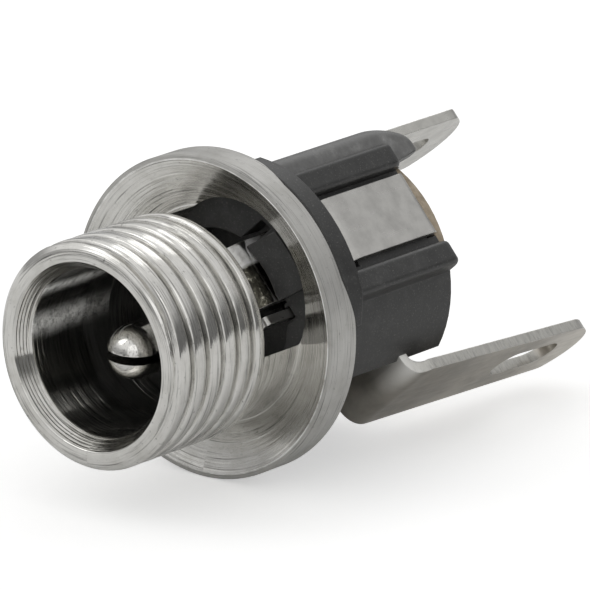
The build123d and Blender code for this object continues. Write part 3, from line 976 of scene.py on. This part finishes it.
def polished_contact():
    """Plated strip: a painted highlight of bright, partly matt plate on the left, a dark mottle elsewhere
    and a pale painted highlight along the fold.
    """
    material, tree, shader, place = new_material("polished_contact")
    mottle = noise(tree, place, scale=3000, detail=5, roughness=0.7, distortion=0.8)
    # Painted highlight: the finger's left side is bright, partly matt plate; the rest is a dark mottle.
    highlight_side_share = spread(tree, dot(tree, place, leftward), dark_mottle_to, highlight_from)
    colour = mixed(tree, highlight_side_share, ramp(tree, mottle, dark_mottle_tones), ramp(tree, mottle, highlight_tones))
    _, height, _ = split(tree, place)
    # Painted highlight: a pale line along the fold.
    fold = maths(tree, "COMPARE", height, fold_highlight_y, fold_highlight_half_width)
    feed(tree, shader, {
        "Base Color": mixed(tree, fold, colour, fold_highlight_colour),
        "Metallic": metal_left(tree, highlight_side_share, least=0.35),
        "Roughness": 0.2,
        "Normal": bumped(tree, mottle, 0.7, scratch_depth),
    })
    return material


contact_metal = polished_contact()
print("finish made:", contact_metal.name)

# %% [markdown]
# Tan laminate
# The wafer at the rear is punched from paper laminate, a plain board whose fibres lie
# in no direction. A noise with much detail is enough for them, and no weave is needed.

# %% Tan laminate
laminate_tones = [(0.3, (0.25, 0.20, 0.14)), (0.55, (0.40, 0.33, 0.24)), (0.75, (0.50, 0.43, 0.33))]


def tan_laminate():
    """Paper laminate: a tan board with faint fibres and almost no shine."""
    material, tree, shader, place = new_material("tan_laminate")
    fibre = noise(tree, place, scale=2600, detail=6, roughness=0.7)
    feed(tree, shader, {"Base Color": ramp(tree, fibre, laminate_tones), "Roughness": 0.55})
    return material


laminate = tan_laminate()
print("finish made:", laminate.name)


# %% [markdown]
# Dress the pieces
# The new pieces ride on the one body. The barrel, the flange and the pin stand for their
# CAD nodes, and the shoulder and the finger's face lie on theirs. The nodes whose shape
# is already right keep it and only get their finish.

# %% Assign finishes
def finish_with(piece, material):
    """Puts one material on every face of a piece."""
    piece.data.materials.clear()
    piece.data.materials.append(material)


for piece, material, replaced, slot in (
    (barrel, nickel, "shell", "nickel_plate"),
    (flange, satin_nickel, "shell", "nickel_plate"),
    (pin, pin_metal, "centre_pin", "nickel_pin"),
):
    finish_with(piece, material)
    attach(piece, "root")
    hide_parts(replaced)
for piece, material, slot in (
    (shoulder, painted_light_black, "black_moulding"),
    (finger, contact_metal, "tinned_contact"),
):
    finish_with(piece, material)
    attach(piece, "root")

node_finishes = {
    "insulator": black,
    "contact_spring": strip_metal,
    "rear_wafer": laminate,
    "pin_terminal": lug_metal,
    "sleeve_terminal": lug_metal_painted_shading,
}
for name, material in node_finishes.items():
    finish_with(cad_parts[name], material)
    print("finish on", name, "is", material.name)

# %% [markdown]
# Floor, world and lamps
# A product photograph of plated metal needs something dark for the metal to show, or
# it looks like grey paint. The camera sees a white world, and the metal sees a light
# tent: a pale table below the horizon, a dark band just above it and a bright roof.
# Matt surfaces are lit by one even grey, so that their colours stay as written.

# %% The floor
floor_z = cad_box[0][2] - 0.02 * mm
floor_half = 0.6
floor_glow = 0.45
floor_colour = (0.86, 0.86, 0.855, 1)
white = (1, 1, 1, 1)
floor_points = np.array([(-1, -1, 0), (1, -1, 0), (1, 1, 0), (-1, 1, 0)], float) * floor_half
floor_points[:, 2] = floor_z
floor = mesh_piece("floor", floor_points, [(0, 1, 2, 3)], smooth=False)


def pale_floor():
    """A matt white that keeps shadows, with a glow that only the camera sees."""
    material = bpy.data.materials.new("pale_floor")
    tree = empty_tree(material)
    seen_directly = node(tree, "ShaderNodeLightPath").outputs["Is Camera Ray"]
    matt = node(tree, "ShaderNodeBsdfDiffuse", {"Color": floor_colour})
    strength = maths(tree, "MULTIPLY", seen_directly, floor_glow)
    glow = node(tree, "ShaderNodeEmission", {"Color": white, "Strength": strength})
    both = node(tree, "ShaderNodeAddShader", {0: matt.outputs[0], 1: glow.outputs[0]})
    node(tree, "ShaderNodeOutputMaterial", {0: both.outputs[0]})
    return material


finish_with(floor, pale_floor())
print(f"floor at {floor_z / mm:.2f} mm")

# %% The light tent
table_tones = [(0.0, 0.62), (0.495, 0.66)]
left_tones = table_tones + [(0.505, 0.30), (0.62, 0.40), (0.72, 0.80), (0.85, 0.90), (1.0, 0.8)]
right_tones = table_tones + [(0.505, 0.14), (0.66, 0.19), (0.72, 0.48), (0.82, 0.68), (1.0, 0.72)]
panel_direction = (0.50, -0.80, 0.33)
panel_stops = [(0.88, 0.0), (0.94, 0.6)]
side_from, side_to = -0.15, 0.30


def light_tent(tree, direction):
    """Tones by height, from one ramp on the left to a darker one on the right, and a soft panel."""
    sideways, _, upwards = split(tree, direction)
    height = maths(tree, "MULTIPLY_ADD", upwards, 0.5, 0.5)
    rightness = spread(tree, sideways, side_from, side_to, interpolation="SMOOTHSTEP")
    walls = mixed(tree, rightness, ramp(tree, height, left_tones), ramp(tree, height, right_tones))
    panel = ramp(tree, dot(tree, direction, panel_direction), panel_stops)
    return mixed(tree, 1.0, walls, panel, "ADD")


print("tent:", len(left_tones), "tones on the left and", len(right_tones), "on the right")

# %% The world
even_grey = (0.70, 0.70, 0.70, 1)
world = bpy.data.worlds.new("light_tent")
bpy.context.scene.world = world
world_tree = empty_tree(world)
direction = node(world_tree, "ShaderNodeTexCoord").outputs["Generated"]
path = node(world_tree, "ShaderNodeLightPath")
even = mixed(world_tree, path.outputs["Is Diffuse Ray"], light_tent(world_tree, direction), even_grey)
seen = mixed(world_tree, path.outputs["Is Camera Ray"], even, white)
sky = node(world_tree, "ShaderNodeBackground", {"Color": seen, "Strength": 1.0})
node(world_tree, "ShaderNodeOutputWorld", {0: sky.outputs[0]})
print("world:", world.name)

# %% The lamps
lamp_aim = Vector((0, 0.004, 0))


def soft_lamp(name, place, size, brightness):
    """A square area lamp aimed at the jack; its power is pi times its area times its brightness."""
    data = bpy.data.lights.new(name, "AREA")
    data.size = size
    data.energy = math.pi * size * size * brightness
    lamp = bpy.data.objects.new(name, data)
    lamp.location = place
    lamp.rotation_euler = (lamp_aim - lamp.location).to_track_quat("-Z", "Y").to_euler()
    bpy.context.scene.collection.objects.link(lamp)
    print(name, "at", place)


soft_lamp("roof_lamp", (-0.12, 0.30, 0.24), 0.16, 0.8)
soft_lamp("front_lamp", (-0.22, -0.26, 0.34), 0.22, 1.0)

# %% [markdown]
# The camera
# The photograph was taken with a long lens, 39 degrees round from the mouth and 17
# degrees up. Its place follows from those angles, the distance and the small shift that
# centres the picture, and its lens from how many pixels a millimetre takes there.

# %% Place the camera
view_azimuth = math.radians(39.26)
view_elevation = math.radians(16.61)
view_distance = 250 * mm
shift_right = 6.997 * mm
shift_up = 2.095 * mm
pixels_per_mm = 29.837
picture_pixels = 590
sensor_mm = 36.0
level_share = math.cos(view_elevation)
back = np.array([
    math.sin(view_azimuth) * level_share,
    -math.cos(view_azimuth) * level_share,
    math.sin(view_elevation),
])
right = np.array([math.cos(view_azimuth), math.sin(view_azimuth), 0.0])
up = np.cross(back, right)
camera_data = bpy.data.cameras.new("camera")
camera_data.sensor_width = sensor_mm
camera_data.lens = pixels_per_mm * (view_distance / mm) / picture_pixels * sensor_mm
camera_data.clip_start = 0.01
camera_data.clip_end = 10
camera = bpy.data.objects.new("camera", camera_data)
bpy.context.scene.collection.objects.link(camera)
camera.location = np.array([0, mouth_y, 0]) + back * view_distance + right * shift_right + up * shift_up
camera.rotation_euler = (math.pi / 2 - view_elevation, 0, view_azimuth)
bpy.context.scene.camera = camera
bpy.context.scene.view_settings.view_transform = "Standard"
print(f"lens {camera_data.lens:.0f} mm")
